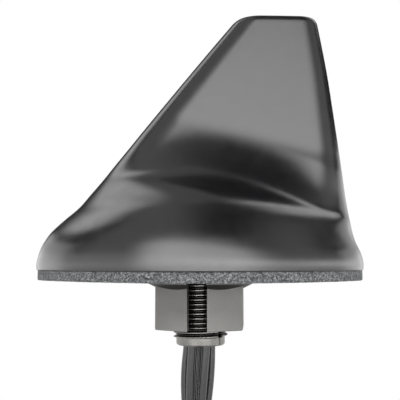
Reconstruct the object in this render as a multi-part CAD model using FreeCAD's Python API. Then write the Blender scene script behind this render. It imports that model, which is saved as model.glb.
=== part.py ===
import FreeCAD, Part
import math
import os

# Roof antenna with a fin housing, all sizes in millimetres.
# Frame: the origin is on the stud's axis in the plane of the roof, +Z up, front of the fin towards -X.

# Foam pad between the housing and the roof
PAD_T = 3.4
PAD_INSET = 0.45

# Fin housing
HOUSING_L = 115.3
FRONT_SHARE = 0.503
HOUSING_W = 86.6
HOUSING_TOP = 94.15
FIN_HALF_TOP = 6.4
FIN_DRAFT = 0.08
FIN_FLAT_Z = 53.0
FLANK_LEAN = 7.5
LEAN_BOW = 0.28
LEAN_RISE = 18.0
RIM_Z = 5.0
RIM_ROUND = 0.35
TOP_ROUND = 2.2
WALL = 2.4
WALL_TOP = 2.8
LEDGE_EXTRA = 2.2
LEDGE_FADE_Z = 20.0
PINCH_MEAN = 0.35
PINCH_LEAN = 0.10
NOSE_FRONT = 1.3
NOSE_REAR = 1.05

# Side profile: height share, front reach share, rear reach share
SIDE = [
    (0.0368, -0.996, 0.996),
    (0.0537, -1.000, 1.000),
    (0.0760, -0.994, 0.996),
    (0.1064, -0.981, 0.981),
    (0.1368, -0.958, 0.957),
    (0.1763, -0.913, 0.937),
    (0.2219, -0.834, 0.923),
    (0.2685, -0.745, 0.910),
    (0.3151, -0.680, 0.898),
    (0.3698, -0.605, 0.887),
    (0.4256, -0.534, 0.876),
    (0.4914, -0.448, 0.863),
    (0.5674, -0.350, 0.847),
    (0.6688, -0.217, 0.825),
    (0.7802, -0.070, 0.800),
    (0.8917, 0.079, 0.769),
    (1.0000, 0.226, 0.736),
]
HALF_STEPS = 20
CROWN_STEPS = 5

# Base plate, its seal and its screws
PLATE_T = 3.0
RIM_WALL = 1.6
PLATE_GAP = 0.25
SEAL_W = 1.2
SEAL_H = 0.9
BOSS_FRONT_SHARE = 0.414
BOSS_REAR_SHARE = 0.45
BOSS_SIDE_SHARE = 0.624
BOSS_R = 3.6
SCREW_R = 1.5
SCREW_HEAD_R = 2.8
SCREW_HEAD_H = 1.6
SCREW_BITE = 8.0

# Hollow threaded stud, 3/4 inch with 16 threads to the inch
THREAD_R = 9.525
PITCH_R = 9.01
BORE_R = 6.35
STUD_END_Z = -22.4
PILOT_R = 8.53
PILOT_L = 2.8
PILOT_CHAMFER = 0.5
STUD_HEX = 25.0
STUD_FLANGE_T = 2.2
STUD_SINK = 1.2
KEYWAY_W = 2.1
KEYWAY_DEPTH = 1.3
KEYWAY_DEG = -45.0

# Slotted flange nut
NUT_HEX = 30.0
NUT_H = 16.8
FLANGE_R = 18.8
FLANGE_RIM = 1.0
FLANGE_SLOPE = 0.5
NUT_TURN_DEG = -94.5
NUT_SLOT_W = 6.7
NUT_EDGE = 0.6

# Boards and aerials under the housing
STANDOFF_H = 4.0
STANDOFF_R = 2.6
STANDOFF_FRONT_SHARE = 0.724
STANDOFF_REAR_SHARE = 0.658
STANDOFF_Y = 8.0
BOARD_T = 1.6
BOARD_INSET = 12.0
BOARD_SCREW_R = 1.1
BOARD_SCREW_HEAD_R = 2.1
BOARD_SCREW_HEAD_H = 1.3
CAN_GAP = 3.0
CAN_Y = 14.0
CAN_L = 18.0
CAN_W = 12.0
CAN_H = 2.6
PATCH_GAP = 1.9
PATCH_SIDE = 25.0
PATCH_T = 4.0
PATCH_BOARD_SIDE = 28.0
PATCH_BOARD_T = 1.0
PATCH_PIN_R = 0.5
PATCH_TAPE_T = 0.8
FIN_BOARD_T = 1.6
FIN_BOARD_GAP = 2.2
FIN_BOARD_STEP = 3.0
FIN_BOARD_LEAN = 6.0
FIN_NOSE = 4.2
FIN_TAIL = 3.4
FOIL_T = 0.2
FOIL_EDGE = 3.0
FOIL_RISE = 8.0
FOIL_FOOT = 10.0
WIFI_GAP = 2.0
WIFI_Y = 17.0
WIFI_L = 14.0
WIFI_H = 12.0
WIFI_T = 0.5
WIFI_FOOT = 5.0

# Coaxial tails through the bore
CABLE_R = 1.4
CABLE_RING = 4.1
STRAIGHT_Z = -17.0
SPREAD = [(-1.4, 3.4), (-6.1, 1.5), (-3.9, -3.0), (0.9, -3.4), (3.6, 0.9)]
SPREAD_Z = -36.0
GROMMET_L = 6.0
GROMMET_LIP = 1.2
JACK_R = 3.175
JACK_THREAD_L = 6.4
JACK_SHOULDER_L = 2.4
JACK_FLATS = 5.75
JACK_FERRULE_R = 2.45
JACK_FERRULE_L = 6.0
JACK_BORE_R = 2.1
JACK_BORE_L = 5.6
JACK_PIN_R = 0.65
SLEEVE_R = 2.9
SLEEVE_L = 14.0
SLEEVE_LAP = 4.6
JACK_RING = 6.1
JACK_RUN_Z = -76.0
DROPS = [-91.0, -96.0, -93.5, -98.0, -89.0]
TIE_X = -1.8
TIE_Z = -56.0
TIE_HELD = 2.0
TIE_W = 2.5
TIE_T = 1.1
TIE_HEAD = 3.5

HOUSING_FRONT = HOUSING_L * FRONT_SHARE
HOUSING_REAR = HOUSING_L - HOUSING_FRONT

V = FreeCAD.Vector
UP = V(0, 0, 1)
os.makedirs("parts", exist_ok=True)


def interpolate(z, column):
    """Front or rear reach share at height z, straight between the side profile's rows."""
    share = z / HOUSING_TOP
    rows = SIDE
    if share <= rows[0][0]:
        return rows[0][column]
    for low, high in zip(rows, rows[1:]):
        if share <= high[0]:
            part = (share - low[0]) / (high[0] - low[0])
            return low[column] + part * (high[column] - low[column])
    return rows[-1][column]


def fin_half(z):
    return FIN_HALF_TOP + FIN_DRAFT * (HOUSING_TOP - z)


def flank_arcs():
    """Radius and steepest tilt of the two equal arcs that lead the fin's side down to the rim."""
    first = math.atan(FIN_DRAFT)
    rise = FIN_FLAT_Z - RIM_Z
    reach = HOUSING_W / 2 - fin_half(FIN_FLAT_Z)
    low, high = math.radians(20), math.radians(88)
    for _ in range(60):
        tilt = (low + high) / 2
        share = (1 + math.cos(first) - 2 * math.cos(tilt)) / (2 * math.sin(tilt) - math.sin(first))
        if share < reach / rise:
            low = tilt
        else:
            high = tilt
    return rise / (2 * math.sin(tilt) - math.sin(first)), tilt, first


FLANK_R, FLANK_TILT, FLANK_FIRST = flank_arcs()


def half_width(z, inset):
    """Half width at mid-length, with a wall's thickness taken off square to the surface."""
    centre_y = fin_half(FIN_FLAT_Z) + FLANK_R * math.cos(FLANK_FIRST)
    centre_z = FIN_FLAT_Z + FLANK_R * math.sin(FLANK_FIRST)
    turn_z = RIM_Z + (FLANK_R - inset) * math.sin(FLANK_TILT)
    start_z = FIN_FLAT_Z - inset * math.sin(FLANK_FIRST)
    if z >= start_z:
        return fin_half(z) - inset
    if z >= turn_z:
        hollow = FLANK_R + inset
        return centre_y - math.sqrt(max(hollow ** 2 - (centre_z - z) ** 2, 0))
    full = FLANK_R - inset
    return HOUSING_W / 2 - FLANK_R + math.sqrt(max(full ** 2 - max(z - RIM_Z, 0) ** 2, 0))


def outline(z, inset, at=None):
    """Closed wire round the housing at height z, inset by a wall; at places it at another height."""
    front = interpolate(z, 1) * HOUSING_FRONT + 1.25 * inset
    rear = interpolate(z, 2) * HOUSING_REAR - 1.1 * inset
    middle, half = (front + rear) / 2, (rear - front) / 2
    thick = fin_half(z) - inset
    lean = FLANK_LEAN * min(max(z - RIM_Z, 0) / LEAN_RISE, 1)
    nose_f, nose_r = NOSE_FRONT * thick, NOSE_REAR * thick
    side = []
    for i in range(HALF_STEPS + 1):
        angle = math.pi * i / HALF_STEPS
        u = -math.cos(angle)
        x = middle + half * u
        level = z + lean * u * (1 + LEAN_BOW * u)
        wide = half_width(level, inset)
        blend = min(max((0.94 * FIN_FLAT_Z - level) / (0.6 * FIN_FLAT_Z), 0), 1)
        slab = min(thick, wide) * (1 - blend * blend * (3 - 2 * blend))
        short = max(1 - (x - front) / nose_f, 1 - (rear - x) / nose_r, 0)
        nose = math.sqrt(max(1 - short * short, 0))
        pinch = math.sin(angle) * (1 - (PINCH_MEAN - PINCH_LEAN * u) * u * u)
        side.append((x, slab * nose + (wide - slab) * pinch))
    height = z if at is None else at
    points = [V(x, y, height) for x, y in side]
    points += [V(x, -y, height) for x, y in reversed(side[1:-1])]
    steps = len(points)
    curve = Part.BSplineCurve()
    curve.interpolate(
        Points=points,
        PeriodicFlag=True,
        Parameters=[i / steps for i in range(steps + 1)],
    )
    return Part.Wire([curve.toShape()])


def prism(wire, height):
    return Part.Face(wire).extrude(V(0, 0, height))


def cyl(radius, height, x=0.0, y=0.0, z=0.0):
    return Part.makeCylinder(radius, height, V(x, y, z))


def box(length, width, height, x, y, z):
    """Block centred on x and y, standing on z."""
    return Part.makeBox(length, width, height, V(x - length / 2, y - width / 2, z))


def hexagon(across, z, height, turn_deg=0.0):
    corner = across / math.sqrt(3)
    points = []
    for i in range(7):
        angle = math.radians(turn_deg + 60 * i)
        points.append(V(corner * math.cos(angle), corner * math.sin(angle), z))
    return Part.Face(Part.makePolygon(points)).extrude(V(0, 0, height))


def turned(profile):
    """Solid of revolution about Z from radius and height pairs."""
    points = [V(r, 0, z) for r, z in profile]
    face = Part.Face(Part.makePolygon(points + points[:1]))
    return face.revolve(V(0, 0, 0), UP, 360)


def joined(shapes):
    shape = shapes[0]
    for other in shapes[1:]:
        shape = shape.fuse(other)
    return shape.removeSplitter()


def save(name, shape):
    solids = shape.Solids
    for solid in solids:
        if not solid.isValid():
            print("not valid:", name)
    made = solids[0] if len(solids) == 1 else Part.makeCompound(solids)
    made.exportStep("parts/" + name + ".step")
    print(name, len(solids), "solids", round(made.Volume, 1), "mm3")


# Foam pad
pad = prism(outline(RIM_Z, PAD_INSET, 0.0), PAD_T)
pad = pad.cut(cyl(THREAD_R + 0.3, PAD_T, 0, 0, 0))
save("foam_pad", pad)

# Fin housing: a shell open below, with a ledge that lands on the base plate and four screw posts
heights = [row[0] * HOUSING_TOP for row in SIDE]
heights[0] = PAD_T
crown_z = HOUSING_TOP - TOP_ROUND
heights[-1] = crown_z
sections = [outline(heights[0], RIM_ROUND)] + [outline(z, 0.0) for z in heights[1:]]
outer = Part.makeLoft(sections, True, False)
crown = []
for step in range(CROWN_STEPS + 1):
    angle = math.radians(90 * step / CROWN_STEPS)
    inward = TOP_ROUND * (1 - math.cos(angle))
    crown.append(outline(crown_z, inward, crown_z + TOP_ROUND * math.sin(angle)))
outer = outer.fuse(Part.makeLoft(crown, True, False))
plate_top = PAD_T + PLATE_T


def cavity_wall(z):
    low = max(LEDGE_FADE_Z - z, 0) / (LEDGE_FADE_Z - plate_top)
    return WALL + LEDGE_EXTRA * min(low, 1)


cavity_top = HOUSING_TOP - WALL_TOP
inner_heights = [plate_top] + [z for z in heights if plate_top + 2 < z < cavity_top - 4] + [cavity_top]
cavity = Part.makeLoft([outline(z, cavity_wall(z)) for z in inner_heights], True, False)
recess = prism(outline(RIM_Z, RIM_WALL, PAD_T - 1), PLATE_T + 1)
midwall = Part.makeLoft([outline(z, cavity_wall(z) - WALL / 2) for z in inner_heights], True, False)
posts = []
post_holes = []
boss_x = (-BOSS_FRONT_SHARE * HOUSING_FRONT, BOSS_REAR_SHARE * HOUSING_REAR)
boss_y = BOSS_SIDE_SHARE * HOUSING_W / 2
boss_places = [(x, y) for x in boss_x for y in (boss_y, -boss_y)]
for x, y in boss_places:
    post = cyl(BOSS_R, FIN_FLAT_Z - plate_top, x, y, plate_top)
    posts.append(post.common(midwall))
    post_holes.append(cyl(SCREW_R, SCREW_BITE, x, y, plate_top))
housing = outer.cut(cavity).cut(recess)
housing = joined([housing] + posts)
for hole in post_holes:
    housing = housing.cut(hole)
save("fin_housing", housing)

# Base plate with board standoffs, a seal groove, a hexagonal seat for the stud and sunk screw holes
plate = prism(outline(RIM_Z, RIM_WALL + PLATE_GAP, PAD_T), PLATE_T)
groove_out = outline(RIM_Z, RIM_WALL + PLATE_GAP + 0.9, plate_top - SEAL_H)
groove_in = outline(RIM_Z, RIM_WALL + PLATE_GAP + 0.9 + SEAL_W, plate_top - SEAL_H)
seal = prism(groove_out, SEAL_H).cut(prism(groove_in, SEAL_H))
plate = plate.cut(seal)
seat_z = plate_top - STUD_SINK
plate = plate.cut(cyl(THREAD_R + 0.1, PLATE_T, 0, 0, PAD_T))
plate = plate.cut(hexagon(STUD_HEX + 0.2, seat_z, STUD_SINK))
for x, y in boss_places:
    plate = plate.cut(cyl(SCREW_R + 0.2, PLATE_T, x, y, PAD_T))
    plate = plate.cut(cyl(SCREW_HEAD_R + 0.2, SCREW_HEAD_H, x, y, PAD_T))
board_z = plate_top + STANDOFF_H
standoffs = [(-STANDOFF_FRONT_SHARE * HOUSING_FRONT, 0.0)]
standoffs += [(STANDOFF_REAR_SHARE * HOUSING_REAR, y) for y in (STANDOFF_Y, -STANDOFF_Y)]
pillars = [cyl(STANDOFF_R, STANDOFF_H, x, y, plate_top) for x, y in standoffs]
plate = joined([plate] + pillars)
for x, y in standoffs:
    plate = plate.cut(cyl(BOARD_SCREW_R, STANDOFF_H, x, y, plate_top))
save("base_plate", plate)
save("seal_ring", seal)

screws = []
for x, y in boss_places:
    shank = cyl(SCREW_R, PLATE_T - SCREW_HEAD_H + SCREW_BITE, x, y, PAD_T + SCREW_HEAD_H)
    head = cyl(SCREW_HEAD_R, SCREW_HEAD_H, x, y, PAD_T)
    screws.append(joined([shank, head]).cut(hexagon(2.5, PAD_T, 1.0).translated(V(x, y, 0))))
save("housing_screws", Part.makeCompound(screws))

# Hollow stud: hexagonal flange in the plate, thread, plain pilot end and keyway
pilot_z = STUD_END_Z + PILOT_L
nut_low = -NUT_H
stud = turned([
    (BORE_R, seat_z + STUD_FLANGE_T),
    (THREAD_R, seat_z + STUD_FLANGE_T),
    (THREAD_R, 0.0),
    (PITCH_R, 0.0),
    (PITCH_R, nut_low),
    (THREAD_R, nut_low),
    (THREAD_R, pilot_z),
    (PILOT_R, pilot_z),
    (PILOT_R, STUD_END_Z + PILOT_CHAMFER),
    (PILOT_R - PILOT_CHAMFER, STUD_END_Z),
    (BORE_R, STUD_END_Z),
])
flange = hexagon(STUD_HEX, seat_z, STUD_FLANGE_T).cut(cyl(BORE_R, STUD_FLANGE_T, 0, 0, seat_z))
stud = joined([stud, flange])
keyway = Part.makeBox(
    2 * KEYWAY_DEPTH,
    KEYWAY_W,
    nut_low - STUD_END_Z,
    V(THREAD_R - KEYWAY_DEPTH, -KEYWAY_W / 2, STUD_END_Z),
)
keyway.rotate(V(0, 0, 0), UP, KEYWAY_DEG)
stud = stud.cut(keyway)
save("hollow_stud", stud)

# Slotted flange nut
cone_low = -FLANGE_RIM - FLANGE_SLOPE * (FLANGE_R - PITCH_R)
skirt = turned([
    (PITCH_R, 0.0),
    (FLANGE_R - 0.4, 0.0),
    (FLANGE_R, -0.4),
    (FLANGE_R, -FLANGE_RIM),
    (PITCH_R, cone_low),
])
body = hexagon(NUT_HEX, -NUT_H, NUT_H, NUT_TURN_DEG)
uprights = [e for e in body.Edges if e.BoundBox.ZLength > NUT_H / 2]
body = body.makeFillet(NUT_EDGE, uprights)
lower = [e for e in body.Edges if e.BoundBox.ZMax < -NUT_H + 1e-3]
body = body.makeFillet(NUT_EDGE * 0.8, lower)
body = body.cut(cyl(PITCH_R, NUT_H, 0, 0, -NUT_H))
nut = joined([body, skirt])
slot = Part.makeBox(2 * FLANGE_R, NUT_SLOT_W, NUT_H + 1, V(0, -NUT_SLOT_W / 2, -NUT_H - 0.5))
slot.rotate(V(0, 0, 0), UP, NUT_TURN_DEG)
nut = nut.cut(slot)
save("flange_nut", nut)

# Main board on its standoffs
board = prism(outline(RIM_Z, BOARD_INSET, board_z), BOARD_T)
for x, y in boss_places:
    board = board.cut(cyl(BOSS_R + 0.6, BOARD_T, x, y, board_z))
for x, y in standoffs:
    board = board.cut(cyl(BOARD_SCREW_R + 0.1, BOARD_T, x, y, board_z))
save("main_board", board)
board_top = board_z + BOARD_T
patch_x = standoffs[0][0] + BOARD_SCREW_HEAD_R + PATCH_GAP + PATCH_BOARD_SIDE / 2
patch_end = patch_x + PATCH_BOARD_SIDE / 2
can_x = patch_end + CAN_GAP + CAN_L / 2
wifi_x = can_x + CAN_L / 2 + WIFI_GAP + WIFI_L / 2
fin_board_x0 = patch_end + FIN_BOARD_STEP

board_screws = []
for x, y in standoffs:
    shank = cyl(BOARD_SCREW_R, STANDOFF_H + BOARD_T, x, y, plate_top)
    head = cyl(BOARD_SCREW_HEAD_R, BOARD_SCREW_HEAD_H, x, y, board_top)
    board_screws.append(joined([shank, head]))
save("board_screws", Part.makeCompound(board_screws))

for name, side in (("shield_can_left", -1), ("shield_can_right", 1)):
    can = box(CAN_L, CAN_W, CAN_H, can_x, side * CAN_Y, board_top)
    lid = can.makeFillet(0.5, [e for e in can.Edges if e.BoundBox.ZMin > board_top + CAN_H / 4])
    save(name, lid)

# Satellite patch: tape, amplifier board, ceramic block with a feed pin
tape = box(PATCH_BOARD_SIDE, PATCH_BOARD_SIDE, PATCH_TAPE_T, patch_x, 0, board_top)
save("patch_tape", tape)
patch_z = board_top + PATCH_TAPE_T
patch_board = box(PATCH_BOARD_SIDE, PATCH_BOARD_SIDE, PATCH_BOARD_T, patch_x, 0, patch_z)
save("gnss_board", patch_board)
patch = box(PATCH_SIDE, PATCH_SIDE, PATCH_T, patch_x, 0, patch_z + PATCH_BOARD_T)
patch = patch.makeChamfer(0.6, [e for e in patch.Edges if e.BoundBox.ZLength > PATCH_T / 2])
pin_x = patch_x + 0.06 * PATCH_SIDE
patch = patch.cut(cyl(PATCH_PIN_R, PATCH_T, pin_x, 0, patch_z + PATCH_BOARD_T))
save("gnss_patch", patch)
pin = cyl(PATCH_PIN_R, PATCH_T, pin_x, 0, patch_z + PATCH_BOARD_T)
pin_head = cyl(2.2 * PATCH_PIN_R, 0.4, pin_x, 0, patch_z + PATCH_BOARD_T + PATCH_T)
save("gnss_feed_pin", joined([pin, pin_head]))

# Upright board in the fin with a cellular aerial foil on each face
fin_top = cavity_top - FIN_BOARD_GAP - 1.0


def fin_front(z):
    return interpolate(z, 1) * HOUSING_FRONT + 1.25 * WALL + FIN_NOSE + FIN_BOARD_GAP


def fin_rear(z):
    return interpolate(z, 2) * HOUSING_REAR - 1.1 * WALL - FIN_TAIL - FIN_BOARD_GAP


def upright(points, y, thick):
    """Sheet in the X-Z plane from y to y + thick."""
    corners = [V(x, y, z) for x, z in points]
    return Part.Face(Part.makePolygon(corners + corners[:1])).extrude(V(0, thick, 0))


shoulder_z = HOUSING_TOP * 0.5
rear_foot = fin_rear(fin_top) + FIN_BOARD_LEAN
fin_board = upright(
    [
        (fin_board_x0, board_top),
        (rear_foot, board_top),
        (fin_rear(fin_top), fin_top),
        (fin_front(fin_top), fin_top),
        (fin_board_x0, shoulder_z),
    ],
    -FIN_BOARD_T / 2,
    FIN_BOARD_T,
)
save("fin_board", fin_board)
foil_low = board_top + FOIL_RISE
foil = [
    (fin_board_x0 + 2 * FOIL_EDGE, foil_low),
    (rear_foot - FOIL_FOOT, foil_low),
    (fin_rear(fin_top) - FOIL_EDGE, fin_top - FOIL_EDGE),
    (fin_front(fin_top) + FOIL_EDGE, fin_top - FOIL_EDGE),
    (fin_board_x0 + 2 * FOIL_EDGE, shoulder_z),
]
save("cellular_foil_left", upright(foil, -FIN_BOARD_T / 2 - FOIL_T, FOIL_T))
save("cellular_foil_right", upright(foil, FIN_BOARD_T / 2, FOIL_T))

# Two bent sheet aerials for the wireless network
for name, side in (("wifi_aerial_left", -1), ("wifi_aerial_right", 1)):
    y = side * WIFI_Y
    foot = box(WIFI_L / 3, WIFI_FOOT, WIFI_T, wifi_x + WIFI_L / 3, y, board_top)
    wall = box(WIFI_L / 3, WIFI_T, WIFI_H, wifi_x + WIFI_L / 3, y, board_top)
    arm = box(WIFI_L, WIFI_T, WIFI_H / 3, wifi_x, y, board_top + WIFI_H * 2 / 3)
    save(name, joined([foot, wall, arm]))

# Rubber grommet in the top of the bore, with the leads that come down from the board
ring = []
for i in range(5):
    angle = math.radians(90 + 72 * i)
    ring.append((CABLE_RING * math.cos(angle), CABLE_RING * math.sin(angle)))
bore_top = seat_z + STUD_FLANGE_T
grommet_low = bore_top - GROMMET_L
grommet = joined([
    cyl(BORE_R, GROMMET_L, 0, 0, grommet_low),
    cyl(BORE_R + 1.5, GROMMET_LIP, 0, 0, bore_top),
])
for x, y in ring:
    grommet = grommet.cut(cyl(CABLE_R, GROMMET_L + GROMMET_LIP, x, y, grommet_low))
save("cable_grommet", grommet)
leads = [cyl(CABLE_R, board_z - grommet_low, x, y, grommet_low) for x, y in ring]
save("inner_leads", Part.makeCompound(leads))

# Coaxial tails: straight out of the stud, drawn together by the tie, then apart to their jacks
routes = []
for i, (x, y) in enumerate(ring):
    angle = math.radians(90 + 72 * i)
    across, along = math.cos(angle), math.sin(angle)
    routes.append([
        V(x, y, grommet_low),
        V(x, y, STRAIGHT_Z),
        V(SPREAD[i][0], SPREAD[i][1], SPREAD_Z),
        V(TIE_X + TIE_HELD * across, TIE_HELD * along, TIE_Z),
        V(JACK_RING * across, JACK_RING * along, JACK_RUN_Z),
        V(JACK_RING * across, JACK_RING * along, DROPS[i]),
    ])


def path_along(route):
    """Straight runs joined by the largest tangent arcs that their lengths allow."""
    edges = []
    radii = []
    start = route[0]
    for before, corner, after in zip(route, route[1:], route[2:]):
        back = before.sub(corner)
        ahead = after.sub(corner)
        cut = 0.45 * min(back.Length, ahead.Length)
        turn = math.pi - back.getAngle(ahead)
        back.normalize()
        ahead.normalize()
        inward = back.add(ahead).normalize()
        bend = cut / math.tan(turn / 2)
        reach = math.hypot(bend, cut) - bend
        enter = corner.add(back.multiply(cut))
        leave = corner.add(ahead.multiply(cut))
        edges.append(Part.LineSegment(start, enter).toShape())
        edges.append(Part.Arc(enter, corner.add(inward.multiply(reach)), leave).toShape())
        radii.append(round(bend, 1))
        start = leave
    edges.append(Part.LineSegment(start, route[-1]).toShape())
    return Part.Wire(edges), radii


def distance_at(path, z):
    """Where a tail crosses height z."""
    plane = Part.makePlane(2 * FLANGE_R, 2 * FLANGE_R, V(-FLANGE_R, -FLANGE_R, z))
    return path.section(plane).Vertexes[0].Point


held = 0.0
for i, route in enumerate(routes):
    path, radii = path_along(route)
    section = Part.Wire([Part.makeCircle(CABLE_R, route[0], route[1].sub(route[0]))])
    solid = path.makePipeShell([section], True, False)
    share = solid.Volume / (math.pi * CABLE_R ** 2 * path.Length)
    print("tail", i + 1, "length", round(path.Length, 1), "radii", radii, "volume share", round(share, 4))
    save("coax_tail_%d" % (i + 1), solid)
    for z in (TIE_Z - TIE_W / 2, TIE_Z, TIE_Z + TIE_W / 2):
        place = distance_at(path, z)
        held = max(held, math.hypot(place.x - TIE_X, place.y))

# Cable tie round the five tails
tie_in = held + CABLE_R + 0.05
tie = cyl(tie_in + TIE_T, TIE_W, TIE_X, 0, TIE_Z - TIE_W / 2)
head = box(TIE_HEAD, TIE_HEAD, TIE_HEAD, TIE_X, tie_in + TIE_T / 2 + TIE_HEAD / 2, TIE_Z - TIE_HEAD / 2)
tie = joined([tie, head]).cut(cyl(tie_in, 2 * TIE_HEAD, TIE_X, 0, TIE_Z - TIE_HEAD))
save("cable_tie", tie)

# Threaded jacks on the tails, each with its insulator, contact and shrink sleeve
for i, route in enumerate(routes):
    end = route[-1]
    low = end.z - JACK_FERRULE_L
    body = turned([
        (0.0, end.z),
        (JACK_FERRULE_R, end.z),
        (JACK_FERRULE_R, low),
        (JACK_R, low),
        (JACK_R, low - JACK_SHOULDER_L),
        (0.86 * JACK_R, low - JACK_SHOULDER_L),
        (0.86 * JACK_R, low - JACK_SHOULDER_L - 1.0),
        (JACK_R, low - JACK_SHOULDER_L - 1.0),
        (JACK_R, low - JACK_SHOULDER_L - JACK_THREAD_L + 0.4),
        (JACK_R - 0.4, low - JACK_SHOULDER_L - JACK_THREAD_L),
        (JACK_BORE_R, low - JACK_SHOULDER_L - JACK_THREAD_L),
        (JACK_BORE_R, low - JACK_SHOULDER_L - JACK_THREAD_L + JACK_BORE_L),
        (0.0, low - JACK_SHOULDER_L - JACK_THREAD_L + JACK_BORE_L),
    ])
    mouth = low - JACK_SHOULDER_L - JACK_THREAD_L
    shoulder_mid = JACK_FLATS / 2 + JACK_R
    for y in (shoulder_mid, -shoulder_mid):
        body = body.cut(box(4 * JACK_R, 2 * JACK_R, JACK_SHOULDER_L, 0, y, low - JACK_SHOULDER_L))
    filler = cyl(JACK_BORE_R, JACK_BORE_L - 1.9, 0, 0, mouth + 1.9)
    filler = filler.cut(cyl(JACK_PIN_R, JACK_BORE_L, 0, 0, mouth))
    contact = cyl(JACK_PIN_R, JACK_BORE_L - 1.9, 0, 0, mouth + 1.9)
    contact = contact.cut(cyl(0.7 * JACK_PIN_R, 2.0, 0, 0, mouth + 1.9))
    sleeve_low = end.z - SLEEVE_LAP
    sleeve = turned([
        (CABLE_R, end.z),
        (CABLE_R, sleeve_low + SLEEVE_L),
        (CABLE_R + 0.45, sleeve_low + SLEEVE_L),
        (CABLE_R + 0.5, end.z + 1.2),
        (SLEEVE_R, end.z + 0.2),
        (SLEEVE_R, sleeve_low),
        (JACK_FERRULE_R, sleeve_low),
        (JACK_FERRULE_R, end.z),
    ])
    for name, shape in (
        ("jack_body", body),
        ("jack_insulator", filler),
        ("jack_contact", contact),
        ("shrink_sleeve", sleeve),
    ):
        shape.translate(V(end.x, end.y, 0))
        save("%s_%d" % (name, i + 1), shape)
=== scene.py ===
# %% [markdown]
# # A roof antenna with a fin housing
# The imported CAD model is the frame: it is loaded first and gives every size and place, in metres. The
# looks are built around it, piece by piece, in the order in which the eye meets them.

# %% Load the frame
import math

import bmesh
import bpy
from mathutils import Matrix, Vector


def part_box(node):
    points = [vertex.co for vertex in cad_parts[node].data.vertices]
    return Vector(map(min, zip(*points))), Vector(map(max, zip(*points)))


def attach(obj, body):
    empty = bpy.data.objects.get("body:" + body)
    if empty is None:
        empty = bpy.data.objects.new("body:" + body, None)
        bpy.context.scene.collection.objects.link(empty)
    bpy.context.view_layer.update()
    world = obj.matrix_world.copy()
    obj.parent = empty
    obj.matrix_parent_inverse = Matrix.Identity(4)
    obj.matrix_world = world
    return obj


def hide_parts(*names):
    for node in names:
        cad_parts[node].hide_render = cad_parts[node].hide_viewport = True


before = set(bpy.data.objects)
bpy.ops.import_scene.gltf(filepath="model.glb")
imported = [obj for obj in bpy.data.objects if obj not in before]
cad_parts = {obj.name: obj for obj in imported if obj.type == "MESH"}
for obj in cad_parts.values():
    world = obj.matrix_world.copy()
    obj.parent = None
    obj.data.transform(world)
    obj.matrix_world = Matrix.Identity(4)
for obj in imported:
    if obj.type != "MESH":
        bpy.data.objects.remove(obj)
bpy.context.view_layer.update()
MM = 0.001
PER_MM = 1 / MM
print("nodes", len(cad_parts))

# %% [markdown]
# ## The camera
# The photograph looks square at the side of the fin from about a quarter of a metre, with the lens
# just above the pad, so the pad's near edge hides the top of the nut. The camera is tipped up a
# little to put the fin in the frame.

# %% Camera
bpy.ops.object.select_all(action="DESELECT")
CAMERA_SIDE = -0.2 * MM
CAMERA_AWAY = 248 * MM
CAMERA_HIGH = 6.6 * MM
CAMERA_TIP = math.radians(5.02)
SENSOR = 36
FOCAL_PIXELS, PICTURE_PIXELS = 697, 400
bpy.ops.object.camera_add(
    location=(CAMERA_SIDE, -CAMERA_AWAY, CAMERA_HIGH),
    rotation=(math.pi / 2 + CAMERA_TIP, 0, 0),
)
camera = bpy.context.object
camera.name = "photo_camera"
camera.data.sensor_width = SENSOR
camera.data.sensor_fit = "HORIZONTAL"
camera.data.lens = SENSOR * FOCAL_PIXELS / PICTURE_PIXELS
camera.data.clip_start = 0.005
bpy.context.scene.camera = camera
bpy.context.scene.view_settings.view_transform = "Standard"
print("lens", round(camera.data.lens, 2))

# %% [markdown]
# ## Helpers
# One function turns a hex colour to linear values, and one adds a shader node with its settings and
# links. Others give a finish its tint, gloss and relief, pick one piece out of the scene, and hand a
# finished piece to its CAD body.


# %% Helpers
def colour(code):
    """Linear RGBA from an sRGB hex value such as 6b6d70."""
    parts = [int(code[i:i + 2], 16) / 255 for i in (0, 2, 4)]
    return [c / 12.92 if c <= 0.04045 else ((c + 0.055) / 1.055) ** 2.4 for c in parts] + [1.0]


def add(tree, kind, links=None, **settings):
    """One node: settings are properties or inputs by name, links are input name to output socket."""
    made = tree.nodes.new(kind)
    for key, value in settings.items():
        if hasattr(made, key):
            setattr(made, key, value)
        else:
            made.inputs[key.replace("_", " ")].default_value = value
    for key, socket in (links or {}).items():
        tree.links.new(socket, made.inputs[key])
    return made


def finish_of(name):
    """A new material with an empty tree, its Principled node and the piece's own coordinates."""
    material = bpy.data.materials.new(name)
    material.use_nodes = True
    tree = material.node_tree
    tree.nodes.clear()
    shader = add(tree, "ShaderNodeBsdfPrincipled")
    add(tree, "ShaderNodeOutputMaterial", {"Surface": shader.outputs["BSDF"]})
    place = add(tree, "ShaderNodeTexCoord").outputs["Object"]
    return material, tree, shader, place


def tint(tree, value, dark, light):
    """Colour socket that goes from a dark to a light shade with a value."""
    ramp = add(tree, "ShaderNodeValToRGB", {"Fac": value})
    ramp.color_ramp.elements[0].color = colour(dark)
    ramp.color_ramp.elements[1].color = colour(light)
    return ramp.outputs["Color"]


def gloss(tree, shader, value, low, high):
    """Let the roughness follow a value between two limits."""
    dull = add(tree, "ShaderNodeMapRange", {"Value": value}, To_Min=low, To_Max=high)
    tree.links.new(dull.outputs["Result"], shader.inputs["Roughness"])


def relief(tree, shader, value, strength, deep):
    """Let a value raise the surface, with its depth in millimetres."""
    bump = add(tree, "ShaderNodeBump", {"Height": value}, Strength=strength, Distance=deep * MM)
    tree.links.new(bump.outputs["Normal"], shader.inputs["Normal"])


def clear_selection():
    if bpy.context.object and bpy.context.object.mode != "OBJECT":
        bpy.ops.object.mode_set(mode="OBJECT")
    bpy.ops.object.select_all(action="DESELECT")


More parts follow.
